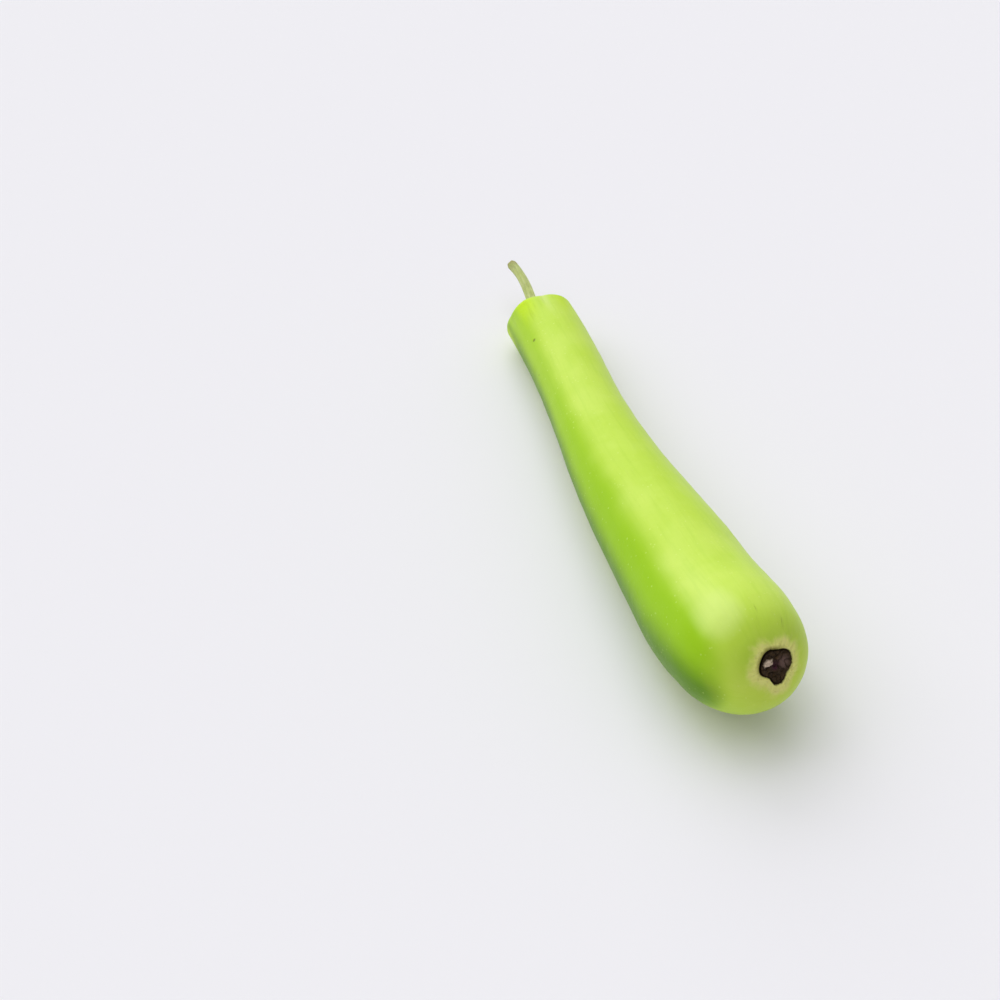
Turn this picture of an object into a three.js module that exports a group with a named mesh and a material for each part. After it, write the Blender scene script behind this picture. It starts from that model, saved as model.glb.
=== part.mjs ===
// A bottle gourd, picked young and lying on its side, in millimetres with +Z up.
//
// The full blossom end points along +X and the cut stalk along -X. The fruit touches the surface at two
// small flat spots, one under the bulb and one under the shoulder by the stalk. The origin is the middle
// of the bottom of the whole gourd, on that surface.
//
// Three pieces: the fruit, the stalk rooted in a socket at one end, and the dry corky base of the flower
// in a pit at the other end. Touching pieces keep a small gap.

import * as THREE from "three";

// --- Driving dimensions of the fruit ---------------------------------------------------------------

const fruitLength = 420; // blossom end to the stalk's shoulder, along the fruit's own axis
const bulbRadius = 42; // fullest ring
const neckRadius = 25.5; // slimmest ring
const shoulderRadius = 25.2; // the neck stays this full up to the stalk's shoulder
const bulbAt = 43; // the fullest ring's distance from the blossom end
const shoulderAt = fruitLength - 14; // where the shoulder starts to round over
const neckAt = bulbAt + 0.8 * (shoulderAt - bulbAt); // where the taper from the bulb ends
const blossomBluntness = 0.72; // 1 makes an end elliptical, less makes it blunter
const stalkEndBluntness = 1.05;

// The axis of the fruit, seen from above and from the side.
const blossomLift = 23; // the blossom end turns up by this much
const liftRun = 108; // over this length
const blossomSwerve = 12.2; // and swings towards +Y
const swerveRun = 86;
const neckBow = 5.4; // the neck bows the other way
const bowEnd = 378;
const settle = 0.5; // how far the rounded underside is pressed flat where it rests

// The bulb is a little flat on one cheek.
const cheekAngle = THREE.MathUtils.degToRad(66); // from the top towards +Y
const cheekFlat = 2.5;
const cheekAt = 26; // from the blossom end
const cheekRun = 20;

// The skin is never quite round: two slow swells wander along the fruit.
const swell = 0.35;
const swellWave = 70; // the length over which it turns by a radian
const swellBeat = 52;
const swellStart = 0.6;
const smallSwell = 0.18;
const smallSwellWave = 38;

// --- Driving dimensions of the blossom end ----------------------------------------------------------

const gap = 0.3; // between touching pieces
const pitRadius = 10.5; // of the shallow pit where the flower sat
const pitDepth = 3.4;
const pitFloor = 0.72; // the floor's radius as a share of the pit's
const pitWall = 0.62; // how deep the wall still is at the pit's full radius, as a share of its depth
const rimWidth = 3.2; // of the slightly raised rim round the pit
const mouthFade = 20; // the fruit is round again at this radius

// The pit's mouth is an uneven pentagon, drawn by waves round it. Each has its number of crests, its height
// as a share of the radius, and the turn in degrees of its first crest, from the top towards +Y.
const mouthWaves = [
  [1, 0.08, 0],
  [2, 0.06, -58],
  [3, 0.09, -52],
  [4, 0.05, 0],
  [5, 0.045, -24],
];

// The rim, outwards from the pit: share of its width, and depth below the tip of the fruit.
const rimFace = [
  [0.35, 0.75],
  [0.7, 0.85],
];

// The plug's face, from its middle out: share of its radius, and depth below the tip of the fruit.
const plugFace = [
  [0, 1.92],
  [0.14, 1.77],
  [0.3, 1.12],
  [0.42, 1.02],
  [0.58, 1.52],
  [0.76, 1.47],
  [0.9, 1.12],
  [1, 1.37],
];
const plugCrease = 1.6; // the face rises towards its corners, by this for each share they stand out

// --- Driving dimensions of the stalk end ------------------------------------------------------------

const dimpleRadius = 15; // where the shoulder's curve ends
const crownRadius = 11.3; // the crest round the dimple
const crownDrop = 1.7; // from the tip of the fruit's length to the crest
const dimpleDepth = 6.5; // from that tip to the mouth of the socket
const socketRadius = 6.8;
const socketDepth = 12.5; // from that tip to the bottom of the socket
const lobes = 5; // of the shoulder, with folds between them that run into the dimple
const lobeHeight = 1.9;
const lobeMean = 2 / Math.PI; // of the lobes' rounded section
const lobeRun = 18; // how far they reach down the neck
const lobeTurn = THREE.MathUtils.degToRad(36);
const slant = 5.8; // the shoulder sits lower on top
const slantAngle = THREE.MathUtils.degToRad(16);
const slantRun = 50;

// --- Driving dimensions of the stalk ----------------------------------------------------------------

const stalkRootRadius = socketRadius - gap;
const stalkRootLength = socketDepth - dimpleDepth - gap; // the stretch inside the socket
const stalkRadius = 3.7;
const stalkFlareLength = 14; // from the socket's mouth to where the flare has died out
const stalkTipRadius = 3.3;
const stalkTipSwell = 0.35; // the cut end is a touch wider
const stalkTipRun = 14; // over this length
const stalkLength = 61; // out of the socket, along its curve
const stalkRidge = 0.38; // blunt ridges along it, one for each lobe
const ridgeStart = 5; // they rise over this length out of the socket
const stalkTwist = THREE.MathUtils.degToRad(35);
const stalkRise = 9; // how far the tip ends above the line of its root
const stalkDrift = -2.6; // and to the side, less than 0 being -Y
const stalkSway = 5.2; // its middle bends towards +Y
const stalkStraight = 0.42; // share of its length that keeps to the line of its root
const stalkBend = 0.72; // where it sways and rises, as a share of its length
const bendRise = 0.4; // the share of the rise reached there
const cutDish = 0.6; // the cut face has shrunk hollow
const cutRing = 0.6; // a ring on the cut face, as a share of its radius

// --- How finely the shapes are divided --------------------------------------------------------------

const fruitSides = 75;
const scarSides = 40;
const stalkSides = 20;
const capRings = 11;
const bodyRings = 26;
const flareRings = 6;
const shaftRings = 12;

// --- Helpers ----------------------------------------------------------------------------------------

const bell = (x) => Math.exp(-x * x);
const fadeOut = (x, run) => Math.max(0, 1 - x / run) ** 2;
const halfWave = (share) => (1 - Math.cos(Math.PI * THREE.MathUtils.clamp(share, 0, 1))) / 2;

const axisStep = 0.5; // over which the axis' direction is taken

/** The middle of the fruit at a distance from its blossom end. */
function axisPoint(along) {
  const bulbToShoulder = (along - bulbAt) / (shoulderAt - bulbAt);
  const height = THREE.MathUtils.lerp(bulbRadius, shoulderRadius, bulbToShoulder) - settle;
  const alongBow = THREE.MathUtils.clamp((along - swerveRun) / (bowEnd - swerveRun), 0, 1);
  return new THREE.Vector3(
    -along,
    blossomSwerve * fadeOut(along, swerveRun) - neckBow * Math.sin(Math.PI * alongBow) ** 2,
    height + blossomLift * fadeOut(along, liftRun),
  );
}

/** The axes of the fruit's cross section there: X to the side, Y along the fruit to the stalk, Z up. */
function axisFrame(along) {
  const forward = axisPoint(along + axisStep).sub(axisPoint(along - axisStep)).normalize();
  const side = new THREE.Vector3().crossVectors(forward, new THREE.Vector3(0, 0, 1)).normalize();
  const up = new THREE.Vector3().crossVectors(side, forward);
  return new THREE.Matrix4().makeBasis(side, forward, up).setPosition(axisPoint(along));
}

/** Moves each vertex of a turned shape. move gets its place along, its radius and its angle from the top. */
function reshape(geometry, move) {
  const position = geometry.getAttribute("position");
  const vertex = new THREE.Vector3();
  for (let index = 0; index < position.count; index += 1) {
    vertex.fromBufferAttribute(position, index);
    const moved = move(vertex.y, Math.hypot(vertex.x, vertex.z), Math.atan2(vertex.x, vertex.z));
    position.setXYZ(index, moved.x, moved.y, moved.z);
  }
  geometry.computeVertexNormals();
  return geometry;
}

/** How far the mouth of the pit stands out of the round at this angle, as a share of its radius. */
function mouthAt(angle) {
  const waves = mouthWaves.map(([crests, share, turn]) => {
    return share * Math.cos(crests * (angle - THREE.MathUtils.degToRad(turn)));
  });
  return waves.reduce((sum, wave) => sum + wave, 0);
}

function makeMesh(name, geometry, color, roughness) {
  const mesh = new THREE.Mesh(geometry, new THREE.MeshStandardMaterial({ color, roughness, metalness: 0 }));
  mesh.name = name;
  return mesh;
}

// --- The fruit --------------------------------------------------------------------------------------

/** Half outline of the fruit, radius and distance along, from the pit's floor to the socket's. */
function fruitOutline() {
  const capStart = pitRadius + rimWidth;
  const startAngle = Math.asin((capStart / bulbRadius) ** (1 / blossomBluntness));
  const endAngle = Math.acos((dimpleRadius / shoulderRadius) ** (1 / stalkEndBluntness));
  const capLength = fruitLength - shoulderAt;

  const blossomCap = [];
  for (let ring = 0; ring < capRings; ring += 1) {
    const angle = THREE.MathUtils.lerp(startAngle, Math.PI / 2, ring / capRings);
    const radius = bulbRadius * Math.sin(angle) ** blossomBluntness;
    blossomCap.push(new THREE.Vector2(radius, bulbAt * (1 - Math.cos(angle))));
  }

  const body = [];
  for (let ring = 0; ring < bodyRings; ring += 1) {
    const along = THREE.MathUtils.lerp(bulbAt, shoulderAt, ring / bodyRings);
    const taper = halfWave((along - bulbAt) / (neckAt - bulbAt));
    const shoulder = halfWave((along - neckAt) / (shoulderAt - neckAt));
    const neck = THREE.MathUtils.lerp(neckRadius, shoulderRadius, shoulder);
    body.push(new THREE.Vector2(THREE.MathUtils.lerp(bulbRadius, neck, taper), along));
  }

  const stalkCap = [];
  for (let ring = 0; ring < capRings; ring += 1) {
    const angle = (endAngle * ring) / capRings;
    const radius = shoulderRadius * Math.cos(angle) ** stalkEndBluntness;
    stalkCap.push(new THREE.Vector2(radius, shoulderAt + capLength * Math.sin(angle)));
  }

  const pit = new THREE.SplineCurve([
    new THREE.Vector2(pitFloor * pitRadius, pitDepth),
    new THREE.Vector2(pitRadius, pitWall * pitDepth),
    ...rimFace.map(([share, depth]) => new THREE.Vector2(pitRadius + share * rimWidth, depth)),
  ]);

  const dimple = new THREE.SplineCurve([
    new THREE.Vector2(dimpleRadius, shoulderAt + capLength * Math.sin(endAngle)),
    new THREE.Vector2(crownRadius, fruitLength - crownDrop),
    new THREE.Vector2(socketRadius, fruitLength - dimpleDepth),
  ]);

  return [
    new THREE.Vector2(0, pitDepth),
    ...pit.getPoints(6),
    ...blossomCap,
    ...body,
    ...stalkCap,
    ...dimple.getPoints(5),
    new THREE.Vector2(socketRadius, fruitLength - socketDepth),
    new THREE.Vector2(0, fruitLength - socketDepth),
  ];
}

/** Where a point of the outline lies on the real, bent and uneven fruit. */
function fruitPoint(along, radius, angle) {
  const roundness = radius / bulbRadius;
  const toStalkEnd = fruitLength - along;
  let reach = radius;

  // Slow swells of the skin.
  const swellTurn = 2 * angle + along / swellWave + swellStart;
  reach += swell * roundness * Math.sin(swellTurn) * Math.sin(along / swellBeat);
  reach += smallSwell * roundness * Math.sin(3 * angle - along / smallSwellWave);

  // One cheek of the bulb.
  const facing = Math.max(0, Math.cos(angle - cheekAngle)) ** 2;
  reach -= cheekFlat * facing * roundness * bell((along - cheekAt) / cheekRun);

  // The uneven mouth of the pit, dying out over the rim.
  if (along < bulbAt) {
    const uneven = 1 - halfWave((radius - pitRadius) / (mouthFade - pitRadius));
    reach *= 1 + mouthAt(angle) * uneven;
  }

  // The lobes of the shoulder, with sharp folds between them that run over the crest into the dimple.
  const lobe = Math.abs(Math.cos((lobes / 2) * (angle - lobeTurn))) - lobeMean;
  const outsideSocket = halfWave((radius - socketRadius) / (dimpleRadius - socketRadius));
  const relief = lobeHeight * lobe * bell(toStalkEnd / lobeRun) * outsideSocket;
  const nearCrown = 1 - halfWave((radius - dimpleRadius) / socketRadius);
  reach += relief;

  // The shoulder is set back on one side.
  const setBack = slant * Math.cos(angle - slantAngle) * bell(toStalkEnd / slantRun) * outsideSocket;

  const onwards = relief * nearCrown - setBack;
  const point = new THREE.Vector3(reach * Math.sin(angle), onwards, reach * Math.cos(angle));
  point.applyMatrix4(axisFrame(along));
  point.z = Math.max(point.z, 0);
  return point;
}

const fruit = makeMesh(
  "fruit",
  reshape(new THREE.LatheGeometry(fruitOutline(), fruitSides), fruitPoint),
  0xa8d43c,
  0.42,
);

// --- The dry base of the flower ---------------------------------------------------------------------

/** Half outline of the corky plug: out over its face, down its side, then back to the middle. */
function scarOutline() {
  const edge = pitRadius - 2 * gap;
  const back = pitDepth - gap;
  return [
    ...plugFace.map(([share, depth]) => new THREE.Vector2(share * edge, depth)),
    new THREE.Vector2(edge, pitWall * pitDepth - gap),
    new THREE.Vector2(pitFloor * pitRadius - 2 * gap, back),
    new THREE.Vector2(0, back),
  ];
}

/** The same uneven pentagon as the pit, with the face creased between its corners. */
function scarPoint(along, radius, angle) {
  const reach = radius * (1 + mouthAt(angle));
  const onFace = along < pitWall * pitDepth - gap;
  const crease = onFace ? plugCrease * mouthAt(angle) * Math.sin((Math.PI * radius) / pitRadius) : 0;
  const point = new THREE.Vector3(reach * Math.sin(angle), -crease, reach * Math.cos(angle));
  return point.applyMatrix4(axisFrame(along));
}

const scar = makeMesh(
  "dried_flower_base",
  reshape(new THREE.LatheGeometry(scarOutline(), scarSides), scarPoint),
  0x3b2620,
  0.85,
);

// --- The stalk --------------------------------------------------------------------------------------

/** The stalk's middle line, from the bottom of its root, in the frame of the socket. */
const stalkCurve = new THREE.CubicBezierCurve3(
  new THREE.Vector3(0, 0, 0),
  new THREE.Vector3(0, stalkStraight * stalkLength, 0),
  new THREE.Vector3(stalkSway, stalkBend * stalkLength, bendRise * stalkRise),
  new THREE.Vector3(stalkDrift, stalkRootLength + stalkLength, stalkRise),
);

/** Radius against distance from the bottom of the root. */
function stalkOutline() {
  const total = stalkRootLength + stalkLength;
  const outline = [new THREE.Vector2(0, 0), new THREE.Vector2(stalkRootRadius, 0)];
  for (let ring = 0; ring <= flareRings; ring += 1) {
    const share = ring / flareRings;
    const radius = THREE.MathUtils.lerp(stalkRootRadius, stalkRadius, 1 - (1 - share) ** 2);
    outline.push(new THREE.Vector2(radius, stalkRootLength + stalkFlareLength * share));
  }
  const shaftStart = stalkRootLength + stalkFlareLength;
  for (let ring = 1; ring <= shaftRings; ring += 1) {
    const along = THREE.MathUtils.lerp(shaftStart, total, ring / shaftRings);
    const taper = THREE.MathUtils.lerp(stalkRadius, stalkTipRadius, ring / shaftRings);
    outline.push(new THREE.Vector2(taper + stalkTipSwell * fadeOut(total - along, stalkTipRun), along));
  }
  outline.push(new THREE.Vector2(cutRing * stalkTipRadius, total - cutDish * (1 - cutRing ** 2)));
  outline.push(new THREE.Vector2(0, total - cutDish));
  return outline;
}

/** Lays the straight stalk along its curve and raises its ridges. */
function stalkPoint(along, radius, angle) {
  const total = stalkRootLength + stalkLength;
  const share = along / total;
  const outOfSocket = halfWave((along - stalkRootLength) / ridgeStart);
  const ridges = Math.cos(lobes * (angle - lobeTurn - stalkTwist * share));
  const reach = radius + stalkRidge * ridges * outOfSocket * (radius / stalkRadius) ** 2;
  const forward = stalkCurve.getTangent(share);
  const side = new THREE.Vector3().crossVectors(forward, new THREE.Vector3(0, 0, 1)).normalize();
  const up = new THREE.Vector3().crossVectors(side, forward);
  return stalkCurve
    .getPoint(share)
    .addScaledVector(side, reach * Math.sin(angle))
    .addScaledVector(up, reach * Math.cos(angle));
}

const stalk = makeMesh(
  "stalk",
  reshape(new THREE.LatheGeometry(stalkOutline(), stalkSides), stalkPoint),
  0xa9b84a,
  0.6,
);
stalk.applyMatrix4(axisFrame(fruitLength - socketDepth + gap));

// --- The whole gourd, stood on its origin -----------------------------------------------------------

const gourd = new THREE.Group();
gourd.name = "bottle_gourd";
gourd.add(fruit, stalk, scar);

const box = new THREE.Box3().setFromObject(gourd, true);
gourd.position.set(-(box.min.x + box.max.x) / 2, -(box.min.y + box.max.y) / 2, -box.min.z);

export default gourd;
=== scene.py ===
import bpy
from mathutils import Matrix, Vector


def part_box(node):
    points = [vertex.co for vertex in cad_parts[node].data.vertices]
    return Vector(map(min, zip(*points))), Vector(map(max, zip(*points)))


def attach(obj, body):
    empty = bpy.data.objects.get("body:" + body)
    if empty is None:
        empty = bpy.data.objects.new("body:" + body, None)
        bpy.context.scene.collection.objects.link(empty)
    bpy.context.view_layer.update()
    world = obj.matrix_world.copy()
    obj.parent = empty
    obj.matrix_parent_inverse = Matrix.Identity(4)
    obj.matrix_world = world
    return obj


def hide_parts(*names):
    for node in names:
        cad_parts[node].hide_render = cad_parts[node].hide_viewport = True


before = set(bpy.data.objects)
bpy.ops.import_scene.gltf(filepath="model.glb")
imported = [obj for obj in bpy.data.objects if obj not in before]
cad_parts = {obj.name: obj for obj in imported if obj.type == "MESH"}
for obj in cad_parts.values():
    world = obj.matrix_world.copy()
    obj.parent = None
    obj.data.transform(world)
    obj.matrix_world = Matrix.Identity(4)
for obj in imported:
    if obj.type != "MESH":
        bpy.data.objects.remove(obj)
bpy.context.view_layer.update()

import math

import bpy
import numpy as np
from mathutils import Vector, noise

# ---------------------------------------------------------------------------------------------------
# The view. The gourd lies with its full end towards the camera, which looks down on it at about
# forty degrees through a 70 mm lens.

CAMERA_PLACE = (0.9183, -0.3585, 0.8719)
CAMERA_HEADING = math.radians(163.354)  # from +X, counterclockwise
CAMERA_DIP = math.radians(41.726)
LENS_MM = 70
SENSOR_MM = 36

camera_data = bpy.data.cameras.new("camera")
camera_data.lens = LENS_MM
camera_data.sensor_width = SENSOR_MM
camera = bpy.data.objects.new("camera", camera_data)
camera.location = CAMERA_PLACE
camera.rotation_euler = (math.pi / 2 - CAMERA_DIP, 0, CAMERA_HEADING - math.pi / 2)
bpy.context.collection.objects.link(camera)
bpy.context.scene.camera = camera
bpy.context.scene.view_settings.view_transform = "Standard"

# ---------------------------------------------------------------------------------------------------
# The fruit. One grown piece, watery flesh under a thin waxy skin. It swelled from the flower's ovary, so
# it is full at the flower's end and lobed where the stalk fed it. Its skin is dented a little all over,
# puckered round the flower's scar and wrinkled round the dimple at the stalk.


MERGE_DISTANCE = 2e-6
QUAD_ANGLE = math.radians(60)  # the most that two triangles of one quad may differ


def refined_copy(node_name, piece_name, levels):
    """A copy of a solid with its loose triangles joined into quads and smoothed by subdivision."""
    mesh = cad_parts[node_name].data.copy()
    mesh.materials.clear()
    piece = bpy.data.objects.new(piece_name, mesh)
    bpy.context.collection.objects.link(piece)
    bpy.ops.object.select_all(action="DESELECT")
    piece.select_set(True)
    bpy.context.view_layer.objects.active = piece
    bpy.ops.object.mode_set(mode="EDIT")
    bpy.ops.mesh.select_all(action="SELECT")
    bpy.ops.mesh.remove_doubles(threshold=MERGE_DISTANCE)
    bpy.ops.mesh.tris_convert_to_quads(face_threshold=QUAD_ANGLE, shape_threshold=QUAD_ANGLE)
    bpy.ops.object.mode_set(mode="OBJECT")
    smoothing = piece.modifiers.new("smoothing", "SUBSURF")
    smoothing.levels = levels
    smoothing.render_levels = levels
    bpy.ops.object.modifier_apply(modifier=smoothing.name)
    bpy.ops.object.shade_smooth()
    return piece


def points_of(mesh):
    """A mesh's vertices as rows of x, y, z."""
    points = np.empty(len(mesh.vertices) * 3)
    mesh.vertices.foreach_get("co", points)
    return points.reshape(-1, 3)


def normals_of(mesh):
    """The direction that each vertex faces."""
    normals = np.empty(len(mesh.vertices) * 3)
    mesh.vertices.foreach_get("normal", normals)
    return normals.reshape(-1, 3)


def put_points(mesh, points):
    mesh.vertices.foreach_set("co", points.ravel())
    mesh.update()


def store(mesh, name, values):
    """Keeps a number or a vector for every vertex, for the material to read."""
    kind = "FLOAT" if values.ndim == 1 else "FLOAT_VECTOR"
    attribute = mesh.attributes.new(name, kind, "POINT")
    attribute.data.foreach_set("value" if values.ndim == 1 else "vector", values.ravel())


def smooth_step(start, end, value):
    """0 on the start's side, 1 past the end, and a smooth change between them."""
    share = np.clip((value - start) / (end - start), 0, 1)
    return share * share * (3 - 2 * share)


def rough(points, size, octaves=2, start=(0.0, 0.0, 0.0)):
    """Smooth noise of about -1 to 1 at each point, with lumps of this size. The start picks the pattern."""
    shift = Vector(start)
    return np.array([noise.fractal(Vector(point) / size + shift, 1.0, 2.0, octaves) for point in points])


def middles_along(points, stations, reach):
    """The middles of a long piece's cross sections, at places along X."""
    rings = [points[np.abs(points[:, 0] - station) < reach] for station in stations]
    return np.array([(ring.min(axis=0) + ring.max(axis=0)) / 2 for ring in rings])


def off_middles(points, stations, middles):
    """How far each point is across from, and above, the line through the middles."""
    across = points[:, 1] - np.interp(points[:, 0], stations, middles[:, 1])
    above = points[:, 2] - np.interp(points[:, 0], stations, middles[:, 2])
    return across, above


FRUIT_STATIONS = 28  # the cross sections whose middles are looked for
FRUIT_REACH = 0.009  # each takes in the skin this far to either side
DENT_SIZE = 0.030
DENT_DEPTH = 0.0005
LUMP_SIZE = 0.009
LUMP_DEPTH = 0.00012
DENT_FADE = 0.004  # every dent fades out over this height, down to what the fruit lies on
CREASE_SHARPNESS = 2.5  # of the puckers and the wrinkles
SCAR_SECTORS = 72
SCAR_SEARCH = 0.016  # the rim lies nearer than this to the scar's middle
SCAR_BACK = 0.020  # from here back, the way behind the scar counts
RIM_HALF_WIDTH = 0.001
PUCKER_DEPTH = 0.0006
PUCKER_REACH = 0.011
PUCKER_WIDTH = 0.22  # as a share of the radius, like the wrinkle's
PUCKER_CHANGE = 40  # how fast the puckers change away from the rim, per metre
PUCKER_START = (3.1, 0.4, 0.0)
LOBES = 5
LOBE_TURN = math.radians(36)
LOBE_FADE = (0.018, 0.050)  # how far from the shoulder their tints start to fade, and are gone
FOLD_SHARE = 0.45
CREST_SHARE = 0.55
WRINKLE_DEPTH = 0.0005
WRINKLE_REACH = 0.016
WRINKLE_WIDTH = 0.30
WRINKLE_CHANGE = 20  # how fast the wrinkles change along the fruit, per metre
WRINKLE_START = (0.0, 5.2, 1.0)

fruit = refined_copy("fruit", "gourd_fruit", levels=2)
fruit_low, fruit_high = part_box("fruit")
skin = points_of(fruit.data)

# Each vertex's turn round the fruit, 0 on top and growing towards +Y.
stations = np.linspace(fruit_low.x + FRUIT_REACH, fruit_high.x - FRUIT_REACH, FRUIT_STATIONS)
turn = np.arctan2(*off_middles(skin, stations, middles_along(skin, stations, FRUIT_REACH)))
from_shoulder = skin[:, 0] - fruit_low.x

# The scar's own directions: out of the fruit, across and up.
plug = points_of(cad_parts["dried_flower_base"].data)
scar_middle = plug.mean(axis=0)
scar_outward = np.linalg.svd(plug - scar_middle, full_matrices=False)[2][2]
scar_outward = scar_outward * np.sign(scar_outward[0])
scar_across = np.cross((0, 0, 1), scar_outward)
scar_across = scar_across / np.linalg.norm(scar_across)
scar_up = np.cross(scar_outward, scar_across)

# The rim of its pit is an uneven pentagon, and it stands highest. Each vertex is so far inside or past it,
# and far behind the scar the way back counts too.
to_scar = skin - scar_middle
scar_turn = np.arctan2(to_scar @ scar_across, to_scar @ scar_up)
from_middle = np.hypot(to_scar @ scar_across, to_scar @ scar_up)
outward_of_scar = to_scar @ scar_outward
too_far_back = np.maximum(-outward_of_scar - SCAR_BACK, 0)
sectors = np.linspace(-math.pi, math.pi, SCAR_SECTORS + 1)
rim_radius = []
for sector in sectors:
    beside = np.abs(np.sin((scar_turn - sector) / 2)) < math.pi / SCAR_SECTORS
    near = beside & (from_middle < SCAR_SEARCH) & (too_far_back == 0)
    rim_radius.append(from_middle[near][np.argmax(outward_of_scar[near])])
past_rim = from_middle - np.interp(scar_turn, sectors, rim_radius) + too_far_back

# Which way the even skin faces is kept for the material: it places the painted highlight and the painted
# shade, and the yellow where the skin lay on the ground.
facing = normals_of(fruit.data)
store(fruit.data, "facing", facing)

# Slow dents and small lumps everywhere.
inward = DENT_DEPTH * (0.5 + 0.5 * rough(skin, DENT_SIZE)) + LUMP_DEPTH * rough(skin, LUMP_SIZE)
# Puckers run out from the rim of the pit, uneven in width and length.
round_scar = np.stack([np.sin(scar_turn), np.cos(scar_turn), past_rim * PUCKER_CHANGE], axis=1)
pucker_noise = rough(round_scar, PUCKER_WIDTH, start=PUCKER_START)
pucker = np.clip(1 - CREASE_SHARPNESS * np.abs(pucker_noise), 0, 1)
pucker_fade = smooth_step(-RIM_HALF_WIDTH, RIM_HALF_WIDTH, past_rim)
pucker_fade *= 1 - smooth_step(RIM_HALF_WIDTH, PUCKER_REACH, past_rim)
inward += PUCKER_DEPTH * pucker * pucker_fade
# Fine wrinkles run down from the stalk, over the lobes of the shoulder.
round_shoulder = np.stack([np.sin(turn), np.cos(turn), from_shoulder * WRINKLE_CHANGE], axis=1)
wrinkle_noise = rough(round_shoulder, WRINKLE_WIDTH, start=WRINKLE_START)
wrinkle = np.clip(1 - CREASE_SHARPNESS * np.abs(wrinkle_noise), 0, 1)
inward += WRINKLE_DEPTH * wrinkle * (1 - smooth_step(0.0, WRINKLE_REACH, from_shoulder))
# The flat spots it rests on stay as they are.
inward *= smooth_step(0.0, DENT_FADE, skin[:, 2])
skin = skin - facing * inward[:, None]
put_points(fruit.data, skin)

lobe = np.abs(np.cos(LOBES / 2 * (turn - LOBE_TURN)))
by_stalk = 1 - smooth_step(*LOBE_FADE, from_shoulder)
store(fruit.data, "fold", smooth_step(FOLD_SHARE, 0.0, lobe) * by_stalk)
store(fruit.data, "crest", smooth_step(CREST_SHARE, 1.0, lobe) * by_stalk)
store(fruit.data, "round_and_along", np.stack([np.sin(turn), np.cos(turn), skin[:, 0]], axis=1))
scar_ring = [np.sin(scar_turn), np.cos(scar_turn), np.zeros_like(scar_turn)]
store(fruit.data, "round_scar", np.stack(scar_ring, axis=1))
store(fruit.data, "past_rim", past_rim)

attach(fruit, "root")
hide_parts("fruit")


class Field:
    """A number or colour that varies over a surface. Sums on it add Math nodes."""

    def __init__(self, tree, socket):
        self.tree = tree
        self.socket = socket

    def make(self, kind, settings, inputs, output=0):
        """One output of a new node of this kind, with its settings first and then its inputs."""
        node = self.tree.nodes.new(kind)
        for name, setting in settings.items():
            setattr(node, name, setting)
        for name, value in inputs.items():
            if isinstance(value, Field):
                self.tree.links.new(value.socket, node.inputs[name])
            else:
                node.inputs[name].default_value = value
        return Field(self.tree, node.outputs[output])

    def math(self, operation, first, second):
        return self.make("ShaderNodeMath", {"operation": operation}, {0: first, 1: second})

    def __add__(self, other):
        return self.math("ADD", self, other)

    def __mul__(self, other):
        return self.math("MULTIPLY", self, other)

    def __sub__(self, other):
        return self.math("SUBTRACT", self, other)

    def __rsub__(self, other):
        return self.math("SUBTRACT", other, self)

    __radd__ = __add__
    __rmul__ = __mul__

    def between(self, low, high):
        """0 up to low, 1 from high on, and a smooth rise between them. It falls if low is the higher one."""
        settings = {"interpolation_type": "SMOOTHSTEP", "clamp": True}
        limits = {"From Min": min(low, high), "From Max": max(low, high)}
        results = {"To Min": float(low > high), "To Max": float(low < high)}
        return self.make("ShaderNodeMapRange", settings, {"Value": self, **limits, **results})

    def scaled(self, x, y, z):
        """A vector with each of its parts scaled."""
        return self.make("ShaderNodeVectorMath", {"operation": "MULTIPLY"}, {0: self, 1: (x, y, z)})

    def against(self, operation, vector):
        """The DISTANCE or the DOT_PRODUCT of this vector and a fixed one."""
        return self.make("ShaderNodeVectorMath", {"operation": operation}, {0: self, 1: vector}, "Value")

    def part(self, number):
        """One part of a vector: 0 is x, 1 is y and 2 is z."""
        return self.make("ShaderNodeSeparateXYZ", {}, {"Vector": self}, number)

    def noise(self, scale, detail=2.0, roughness=0.5):
        """Soft cloudy noise from 0 to 1, read at this vector."""
        inputs = {"Vector": self, "Scale": scale, "Detail": detail, "Roughness": roughness}
        return self.make("ShaderNodeTexNoise", {"noise_dimensions": "3D"}, inputs)

    def wobble(self, size, scale, detail=2.0):
        """Noise read at this vector, centred on 0, with this much from its lowest to its highest."""
        return (self.noise(scale, detail) - 0.5) * size

    def spots(self, scale):
        """The distance to the nearest of scattered points, read at this vector, in cells."""
        return self.make("ShaderNodeTexVoronoi", {"feature": "F1"}, {"Vector": self, "Scale": scale})

    def tint(self, base, color):
        """The base colour where this is 0 and the other colour where it is 1."""
        settings = {"data_type": "RGBA", "blend_type": "MIX", "clamp_factor": True}
        return self.make("ShaderNodeMix", settings, {"Factor": self, 6: base, 7: color}, output=2)


def srgb(red, green, blue):
    """A colour given as a screen shows it, from 0 to 255, made linear for the shader."""
    parts = [part / 255 for part in (red, green, blue)]
    linear = [part / 12.92 if part <= 0.04045 else ((part + 0.055) / 1.055) ** 2.4 for part in parts]
    return (*linear, 1.0)


def start_material(name):
    """A new material: its surface shader, its Object coordinates, and a reader of stored values."""
    material = bpy.data.materials.new(name)
    material.use_nodes = True
    tree = material.node_tree
    shader = tree.nodes["Principled BSDF"]
    here = Field(tree, tree.nodes.new("ShaderNodeTexCoord").outputs["Object"])

    def stored(attribute, output):
        return here.make("ShaderNodeAttribute", {"attribute_name": attribute}, {}, output)

    return material, shader, here, stored


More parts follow.
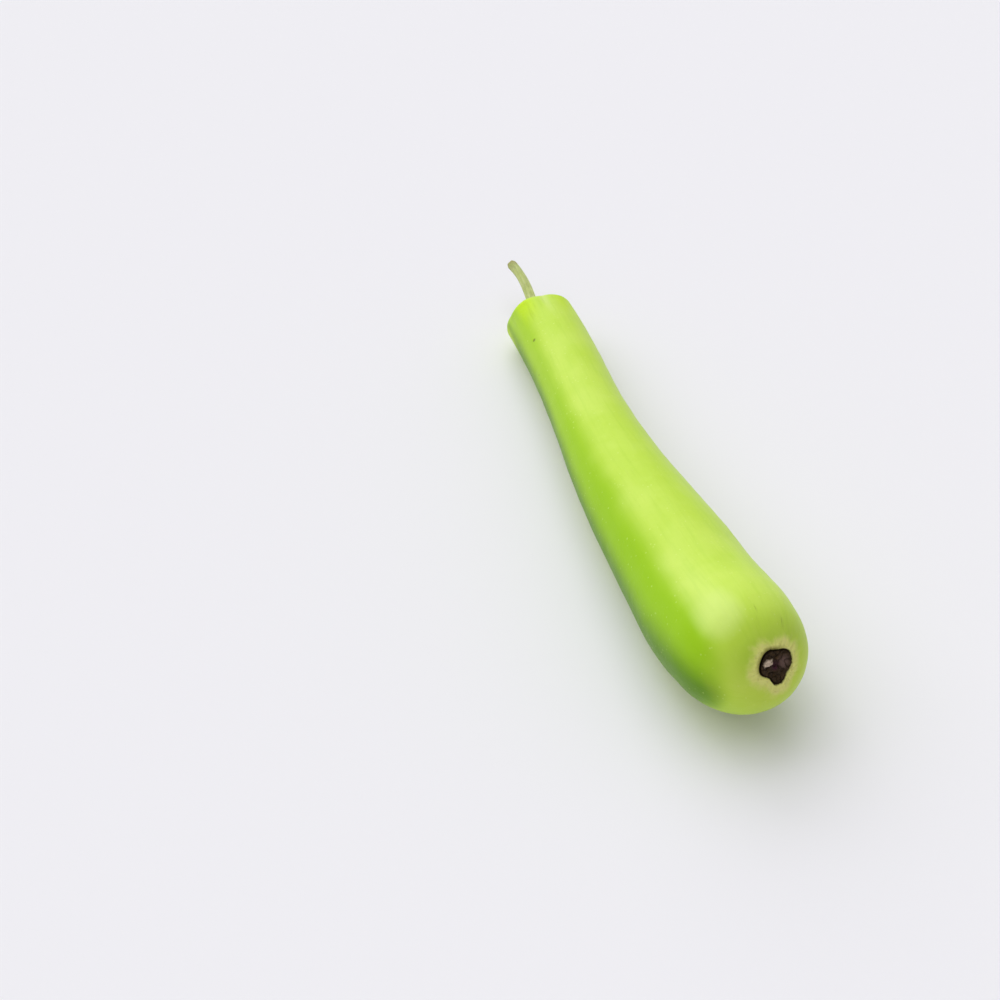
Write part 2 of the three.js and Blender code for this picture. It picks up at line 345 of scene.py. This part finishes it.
def finish_material(shader, color, roughness, height, depth):
    """Joins the varying colour, roughness and relief to the surface shader. The depth is in metres."""
    tree = color.tree
    tree.links.new(color.socket, shader.inputs["Base Color"])
    tree.links.new(roughness.socket, shader.inputs["Roughness"])
    relief = height.make("ShaderNodeBump", {}, {"Height": height, "Distance": depth})
    tree.links.new(relief.socket, shader.inputs["Normal"])


# The skin: lime green, with soft clouds, faint lines along the fruit, tiny pale dots and a few brown specks.
# Painted light lies on it too: a painted highlight on top and painted shade down one flank. A tan corky ring
# lies round the scar.
LIME = srgb(192, 225, 74)
PALE_LIME = srgb(208, 234, 104)
LEAF_GREEN = srgb(158, 206, 36)
FLANK_SHADE_GREEN = srgb(150, 200, 8)
HIGHLIGHT_PALE = srgb(226, 246, 150)
PAINTED_SHADE_GREEN = srgb(70, 120, 2)
GROUND_YELLOW = srgb(208, 222, 118)
SHOULDER_YELLOW = srgb(198, 232, 30)
FOLD_PALE = srgb(214, 234, 140)
OLIVE_AND_SHADE = srgb(158, 184, 52)
CAP_YELLOW = srgb(196, 212, 78)
CORK_TAN = srgb(224, 220, 134)
CORK_BROWN = srgb(160, 140, 74)
PIT_SHADE_OLIVE = srgb(92, 84, 16)
PIT_BROWN_AND_SHADE = srgb(48, 34, 18)
DOT_PALE = srgb(222, 240, 140)
SPECK_BROWN = srgb(112, 120, 36)

BLEMISH_PLACE = (-0.1277, -0.0207, 0.0430)
BLEMISH_EDGE = (0.0016, 0.0008)  # how far from its place it begins, and is full
HIGHLIGHT_FACING = (0.12, -0.44, 0.89)  # the way that the skin faces where the painted highlight is brightest
# Between these places along X the painted shade down the flank deepens, and the painted highlight on top of
# the full end grows.
FLANK_SHADE_STRETCH = (-0.22, 0.12)
HIGHLIGHT_STRETCH = (0.11, 0.20)
# How far past the rim of the pit each of these begins, and where it is full. Below 0 is inside the rim.
CAP_TINT_AND_SHADE_REACH = (0.032, 0.006)
RING_REACH = (0.0085, 0.0010)
FLECK_REACH = (0.0055, 0.0010)
PIT_SHADE_REACH = (0.0022, -0.0006)
PIT_BROWN_AND_SHADE_REACH = (-0.0009, -0.0017)
ROUGH_REACH = (0.012, 0.0)
VECTOR, NUMBER = 1, 2  # outputs of the node that reads a stored value
skin_material, skin_shader, here, stored = start_material("gourd_skin")
lengthwise = stored("round_and_along", VECTOR)
rim_distance = stored("past_rim", NUMBER)
round_pit = stored("round_scar", VECTOR)

clouds = here.noise(24.0, 3.0).between(0.35, 0.68)
blotches = here.noise(90.0, 4.0, 0.6).between(0.44, 0.70)
long_lines = lengthwise.scaled(8.0, 8.0, 14.0).noise(1.8, 3.0).between(0.46, 0.76)
fine_lines = lengthwise.scaled(34.0, 34.0, 34.0).noise(1.6, 2.0).between(0.52, 0.78)
dots = here.spots(250.0).between(0.20, 0.08) * here.noise(70.0).between(0.40, 0.60)
specks = here.spots(37.0).between(0.026, 0.016)
scuffed = here.noise(16.0).between(0.56, 0.64)
scratches = lengthwise.scaled(70.0, 70.0, 22.0).noise(2.0, 1.0).between(0.715, 0.745) * scuffed
from_blemish = here.against("DISTANCE", BLEMISH_PLACE) + here.wobble(0.001, 600.0)
blemish = from_blemish.between(*BLEMISH_EDGE)
facing = stored("facing", VECTOR)
uneven = here.wobble(0.25, 20.0)
shade_deepest_at_bulb = here.part(0).between(*FLANK_SHADE_STRETCH) * 0.5 + 0.5
# Painted shade: skin facing -Y is painted deeper green, deepest towards the full end.
flank_shade = (facing.part(1) + uneven).between(-0.45, -0.85) * shade_deepest_at_bulb
highlight_along = here.part(0).between(*HIGHLIGHT_STRETCH) * 0.85 + 0.15
# Painted highlight: skin facing the light is painted paler, most on top of the full end.
painted_highlight = (facing.against("DOT_PRODUCT", HIGHLIGHT_FACING) + uneven * 0.1).between(0.90, 1.0) * highlight_along
# Painted shade: a dark green strip low on the -Y flank, where it turns down.
painted_shade = (facing.part(1) + uneven).between(-0.55, -0.85) * (facing.part(2) + uneven).between(0.40, -0.15)
underside = (facing.part(2) + uneven).between(-0.50, -0.95)

color = (clouds * 0.55).tint(LIME, PALE_LIME)
color = (long_lines * 0.16).tint(color, LEAF_GREEN)
color = (blotches * 0.16).tint(color, PALE_LIME)
color = (fine_lines * 0.07).tint(color, LEAF_GREEN)
color = (flank_shade * 0.9).tint(color, FLANK_SHADE_GREEN)
color = (painted_highlight * 0.45).tint(color, HIGHLIGHT_PALE)
color = (painted_shade * 0.75).tint(color, PAINTED_SHADE_GREEN)
color = (underside * 0.5).tint(color, GROUND_YELLOW)
color = (dots * 0.35).tint(color, DOT_PALE)
color = (stored("crest", NUMBER) * 0.85).tint(color, SHOULDER_YELLOW)
color = (stored("fold", NUMBER) * facing.part(2).between(0.2, 0.8) * 0.6).tint(color, FOLD_PALE)
# The skin of the flower's end is duller round the scar and yellower below it. Above the scar it is painted
# darker olive, as painted shade.
shade_above_scar = round_pit.part(1).between(-0.5, 0.7)
cap_color_and_shade = shade_above_scar.tint(CAP_YELLOW, OLIVE_AND_SHADE)
color = (rim_distance.between(*CAP_TINT_AND_SHADE_REACH) * 0.55).tint(color, cap_color_and_shade)
ragged = rim_distance + round_pit.wobble(0.008, 1.5, 1.0) + here.wobble(0.008, 200.0, 3.0)
color = (ragged.between(*RING_REACH) * 0.85).tint(color, CORK_TAN)
cracks = round_pit.noise(11.0, 2.0).between(0.60, 0.68) * here.noise(260.0).between(0.42, 0.60)
ring_flecks = cracks * 0.4 + here.noise(420.0, 3.0, 0.6).between(0.56, 0.66) * 0.6
ring_flecks = ring_flecks * ragged.between(*FLECK_REACH)
color = (ring_flecks * 0.30).tint(color, CORK_BROWN)
# Painted shade: the inner slope of the rim on the upper left is painted dark olive.
shaded_upper_left = (round_pit.part(1) * 0.87 - round_pit.part(0) * 0.5).between(0.1, 0.9)
color = (rim_distance.between(*PIT_SHADE_REACH) * shaded_upper_left * 0.75).tint(color, PIT_SHADE_OLIVE)
color = ((specks + blemish) * 0.7).tint(color, SPECK_BROWN)
color = (scratches * 0.3).tint(color, CORK_TAN)
# Inside the rim the pit's wall is painted near-black brown: the scar's own brown, and painted shade in the
# recess.
pit_edge = rim_distance + here.wobble(0.0012, 420.0)
color = pit_edge.between(*PIT_BROWN_AND_SHADE_REACH).tint(color, PIT_BROWN_AND_SHADE)

roughness = 0.36 + clouds * 0.05 + blotches * 0.06 + scratches * 0.2
roughness = roughness + rim_distance.between(*ROUGH_REACH) * 0.30
height = here.noise(480.0) * 0.10 + fine_lines * 0.08 + blotches * 0.10
height = height + ring_flecks * 0.5 - scratches * 0.25 - specks * 0.4 - blemish * 0.8
skin_shader.inputs["Specular IOR Level"].default_value = 0.12
skin_shader.inputs["Coat Weight"].default_value = 0.03
skin_shader.inputs["Coat Roughness"].default_value = 0.20
skin_shader.inputs["Subsurface Weight"].default_value = 0.10
skin_shader.inputs["Subsurface Radius"].default_value = (0.004, 0.005, 0.001)
skin_shader.inputs["Subsurface Scale"].default_value = 1.0
finish_material(skin_shader, color, roughness, height, depth=0.0006)
fruit.data.materials.append(skin_material)

# ---------------------------------------------------------------------------------------------------
# The stalk. A green, fibrous, five-ridged stem, stiff as it dries. It grew as one with the fruit, flares
# where it roots in the dimple, and was cut: its end has shrunk and browned round a spongy pith.

STALK_STATIONS = 18  # as for the fruit
STALK_REACH = 0.0035
CUT_DEPTH = 0.0012  # the cut face lies within this of the tip
FIBRE_DEPTH = 0.00012
FIBRE_WIDTH = 0.16  # as a share of the radius
FIBRE_CHANGE = 6  # how fast the fibres change along the stalk, per metre
FIBRE_FADE = 0.0015  # the fibres fade out over this length, up to the cut
ROOT_SWELL = 0.00025
ROOT_REACH = 0.006

stalk = refined_copy("stalk", "gourd_stalk", levels=3)
stem = points_of(stalk.data)
stalk_low, stalk_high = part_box("stalk")
stalk_stations = np.linspace(stalk_low.x + STALK_REACH, stalk_high.x - STALK_REACH / 2, STALK_STATIONS)
stalk_middles = middles_along(stem, stalk_stations, STALK_REACH)
stem_turn = np.arctan2(*off_middles(stem, stalk_stations, stalk_middles))
from_root = stalk_high.x - stem[:, 0]

# The cut face looks along the stalk's last stretch.
tip_direction = stalk_middles[0] - stalk_middles[2]
tip_direction = tip_direction / np.linalg.norm(tip_direction)
from_cut = (stem @ tip_direction).max() - stem @ tip_direction
off_tip = stem - stem[from_cut < CUT_DEPTH].mean(axis=0)
from_pith = np.linalg.norm(off_tip - np.outer(off_tip @ tip_direction, tip_direction), axis=1)

# Fine fibres run along it, and its root is a little wider, to fill the mouth of the dimple.
round_stem = np.stack([np.sin(stem_turn), np.cos(stem_turn), stem[:, 0] * FIBRE_CHANGE], axis=1)
stem_fibres = rough(round_stem, FIBRE_WIDTH)
outward = FIBRE_DEPTH * stem_fibres * smooth_step(0.0, FIBRE_FADE, from_cut)
outward += ROOT_SWELL * (1 - smooth_step(0.0, ROOT_REACH, from_root))
stem = stem + normals_of(stalk.data) * outward[:, None]
stem[:, 0] = np.maximum(stem[:, 0], stalk_low.x)
put_points(stalk.data, stem)

store(stalk.data, "round_and_along", np.stack([np.sin(stem_turn), np.cos(stem_turn), stem[:, 0]], axis=1))
store(stalk.data, "from_cut", from_cut)
store(stalk.data, "from_pith", from_pith)
store(stalk.data, "from_root", from_root)
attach(stalk, "root")
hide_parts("stalk")

STALK_GREEN = srgb(206, 220, 120)
STALK_PALE = srgb(228, 234, 176)
STALK_SHADE = srgb(178, 196, 90)
DRY_BROWN = srgb(176, 162, 108)
PITH_CREAM = srgb(224, 216, 168)

# How far from the root, the cut or the middle of the pith each tint begins, and where it is full.
ROOT_GREEN_REACH = (0.020, 0.006)
DRIED_REACH = (0.007, 0.0012)
CUT_FACE_REACH = (0.0014, 0.0008)
PITH_REACH = (0.0026, 0.0016)
PITH_HOLE_REACH = (0.0009, 0.0004)

stalk_material, stalk_shader, here, stored = start_material("gourd_stalk")
cut_distance = stored("from_cut", NUMBER)
pith_distance = stored("from_pith", NUMBER)
fibres = stored("round_and_along", VECTOR).scaled(7.0, 7.0, 30.0).noise(2.2, 4.0, 0.6).between(0.36, 0.68)
patches = here.noise(130.0, 3.0, 0.6).between(0.42, 0.66)
color = fibres.tint(STALK_GREEN, STALK_PALE)
color = (patches * 0.4).tint(color, STALK_SHADE)
color = (stored("from_root", NUMBER).between(*ROOT_GREEN_REACH) * 0.5).tint(color, STALK_GREEN)
dried = (cut_distance + (patches - 0.5) * 0.003).between(*DRIED_REACH)
color = (dried * 0.7).tint(color, DRY_BROWN)
vessels = here.spots(900.0).between(0.35, 0.22)
face_color = pith_distance.between(*PITH_REACH).tint(STALK_PALE, PITH_CREAM)
face_color = (vessels * 0.6).tint(face_color, DRY_BROWN)
face_color = (pith_distance.between(*PITH_HOLE_REACH) * 0.8).tint(face_color, DRY_BROWN)
cut_face = cut_distance.between(*CUT_FACE_REACH)
color = cut_face.tint(color, face_color)
roughness = 0.52 + fibres * 0.12 + dried * 0.2
height = fibres * 0.5 + here.noise(800.0) * 0.2 - vessels * cut_face * 0.5
stalk_shader.inputs["Specular IOR Level"].default_value = 0.35
finish_material(stalk_shader, color, roughness, height, depth=0.0005)
stalk.data.materials.append(stalk_material)

# ---------------------------------------------------------------------------------------------------
# The dried base of the flower. A dark plug of cork left in the pit when the withered flower dropped:
# five-cornered, hollow in the middle, cracked as it shrank, with a torn pale scrap of the flower on it.

CRUMB_DEPTH = 0.00035
CRUMB_SIZE = 0.0016
CRUMB_SINK = 0.6  # how far they lie inside the plug's face, as a share of their depth
CRACK_DEPTH = 0.0007
CRACK_SIZE = 0.0042
CRACK_SHARPNESS = 4
CRACK_START = (7.0, 1.0, 2.0)
SCRAP_HALF_WIDTH = 0.0036
SCRAP_HALF_HEIGHT = 0.0026
SCRAP_RISE = 0.0009
SCRAP_EDGE = 0.45  # it rises to its full height over this share of its half width
SCRAP_RAGGEDNESS = 0.35
SCRAP_TEAR_SIZE = 0.0014
SCRAP_START = (0.0, 9.0, 0.0)
FACE_EDGE = (0.2, 0.6)  # the plug's face begins, and is full, where its surface faces out this squarely
# Places on the plug's face, in metres across and up from its middle.
SCRAP_PLACE = (-0.0056, 0.0040)
HOLLOW_PLACE = (-0.0008, 0.0008)
WORN_PLACE = (0.0048, 0.0004)

scar = refined_copy("dried_flower_base", "dried_flower_base_cork", levels=3)
cork = points_of(scar.data)
on_face = np.stack([(cork - scar_middle) @ scar_across, (cork - scar_middle) @ scar_up], axis=1)
facing_out = smooth_step(*FACE_EDGE, normals_of(scar.data) @ scar_outward)
crack_noise = rough(cork, CRACK_SIZE, start=CRACK_START)
crack = np.clip(1 - CRACK_SHARPNESS * np.abs(crack_noise), 0, 1)
scrap = 1 - np.linalg.norm((on_face - SCRAP_PLACE) / (SCRAP_HALF_WIDTH, SCRAP_HALF_HEIGHT), axis=1)
torn = SCRAP_RAGGEDNESS * rough(cork, SCRAP_TEAR_SIZE, start=SCRAP_START)
scrap = smooth_step(0.0, SCRAP_EDGE, scrap + torn) * facing_out
rise = CRUMB_DEPTH * (rough(cork, CRUMB_SIZE, octaves=3) - CRUMB_SINK) - CRACK_DEPTH * crack * (1 - scrap)
rise += SCRAP_RISE * scrap
put_points(scar.data, cork + np.outer(rise * facing_out, scar_outward))
store(scar.data, "crack", crack)
store(scar.data, "scrap", scrap)
store(scar.data, "from_hollow", np.linalg.norm(on_face - HOLLOW_PLACE, axis=1))
store(scar.data, "from_worn", np.linalg.norm(on_face - WORN_PLACE, axis=1))

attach(scar, "root")
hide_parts("dried_flower_base")

CORK_BLACK = srgb(46, 30, 8)
CORK_WARM = srgb(104, 80, 44)
HOLLOW_PURPLE = srgb(72, 16, 46)
WORN_GREY = srgb(112, 88, 80)
SCRAP_BEIGE = srgb(222, 200, 176)

# How far from its place each tint begins, and where it is full.
WORN_REACH = (0.0062, 0.0020)
HOLLOW_REACH = (0.0042, 0.0014)

scar_material, scar_shader, here, stored = start_material("dry_cork")
crumbs = here.noise(520.0, 5.0, 0.7).between(0.38, 0.68)
color = (crumbs * 0.45).tint(CORK_BLACK, CORK_WARM)
color = (stored("from_worn", NUMBER).between(*WORN_REACH) * 0.8).tint(color, WORN_GREY)
color = (stored("from_hollow", NUMBER).between(*HOLLOW_REACH) * 0.85).tint(color, HOLLOW_PURPLE)
color = (stored("crack", NUMBER) * 0.75).tint(color, CORK_BLACK)
color = (stored("scrap", NUMBER) * 0.95).tint(color, SCRAP_BEIGE)
roughness = 0.68 + crumbs * 0.2
scar_shader.inputs["Specular IOR Level"].default_value = 0.25
finish_material(scar_shader, color, roughness, height=crumbs, depth=0.0006)
scar.data.materials.append(scar_material)

# ---------------------------------------------------------------------------------------------------
# The stage: a pale floor under a pale sky, with broad soft lights overhead, behind and to one side. It
# isn't part of the gourd.

FLOOR_SIZE = 200
FLOOR_GREY = (0.855, 0.847, 0.887, 1.0)
FLOOR_ROUGHNESS = 0.9
LIGHT_WIDTH = math.radians(50)  # each light fills this much of the sky
# Each light's strength, its heading from +X and its height above the floor, both in degrees.
SOFT_LIGHTS = {
    "overhead": (0.31, 0, 90),
    "behind_low": (0.57, 180, 30),
    "behind_high": (0.55, 185, 60),
    "behind_left": (0.55, 228, 45),
    "left": (0.33, 270, 55),
}
SKY_STRENGTH = 0.46

bpy.ops.object.select_all(action="DESELECT")
bpy.ops.mesh.primitive_plane_add(size=FLOOR_SIZE, location=(0, 0, 0))
floor = bpy.context.object
floor.name = "floor"
floor_material = bpy.data.materials.new("floor")
floor_material.use_nodes = True
floor_shader = floor_material.node_tree.nodes["Principled BSDF"]
floor_shader.inputs["Base Color"].default_value = FLOOR_GREY
floor_shader.inputs["Roughness"].default_value = FLOOR_ROUGHNESS
floor_shader.inputs["Specular IOR Level"].default_value = 0.0
floor.data.materials.append(floor_material)

world = bpy.data.worlds.new("studio")
world.use_nodes = True
world.node_tree.nodes["Background"].inputs["Color"].default_value = (1.0, 1.0, 1.0, 1.0)
world.node_tree.nodes["Background"].inputs["Strength"].default_value = SKY_STRENGTH
bpy.context.scene.world = world

for light_name, (strength, heading, height) in SOFT_LIGHTS.items():
    light_data = bpy.data.lights.new(light_name, "SUN")
    light_data.energy = strength
    light_data.angle = LIGHT_WIDTH
    light = bpy.data.objects.new(light_name, light_data)
    light.rotation_euler = (0, math.radians(90 - height), math.radians(heading))
    bpy.context.collection.objects.link(light)
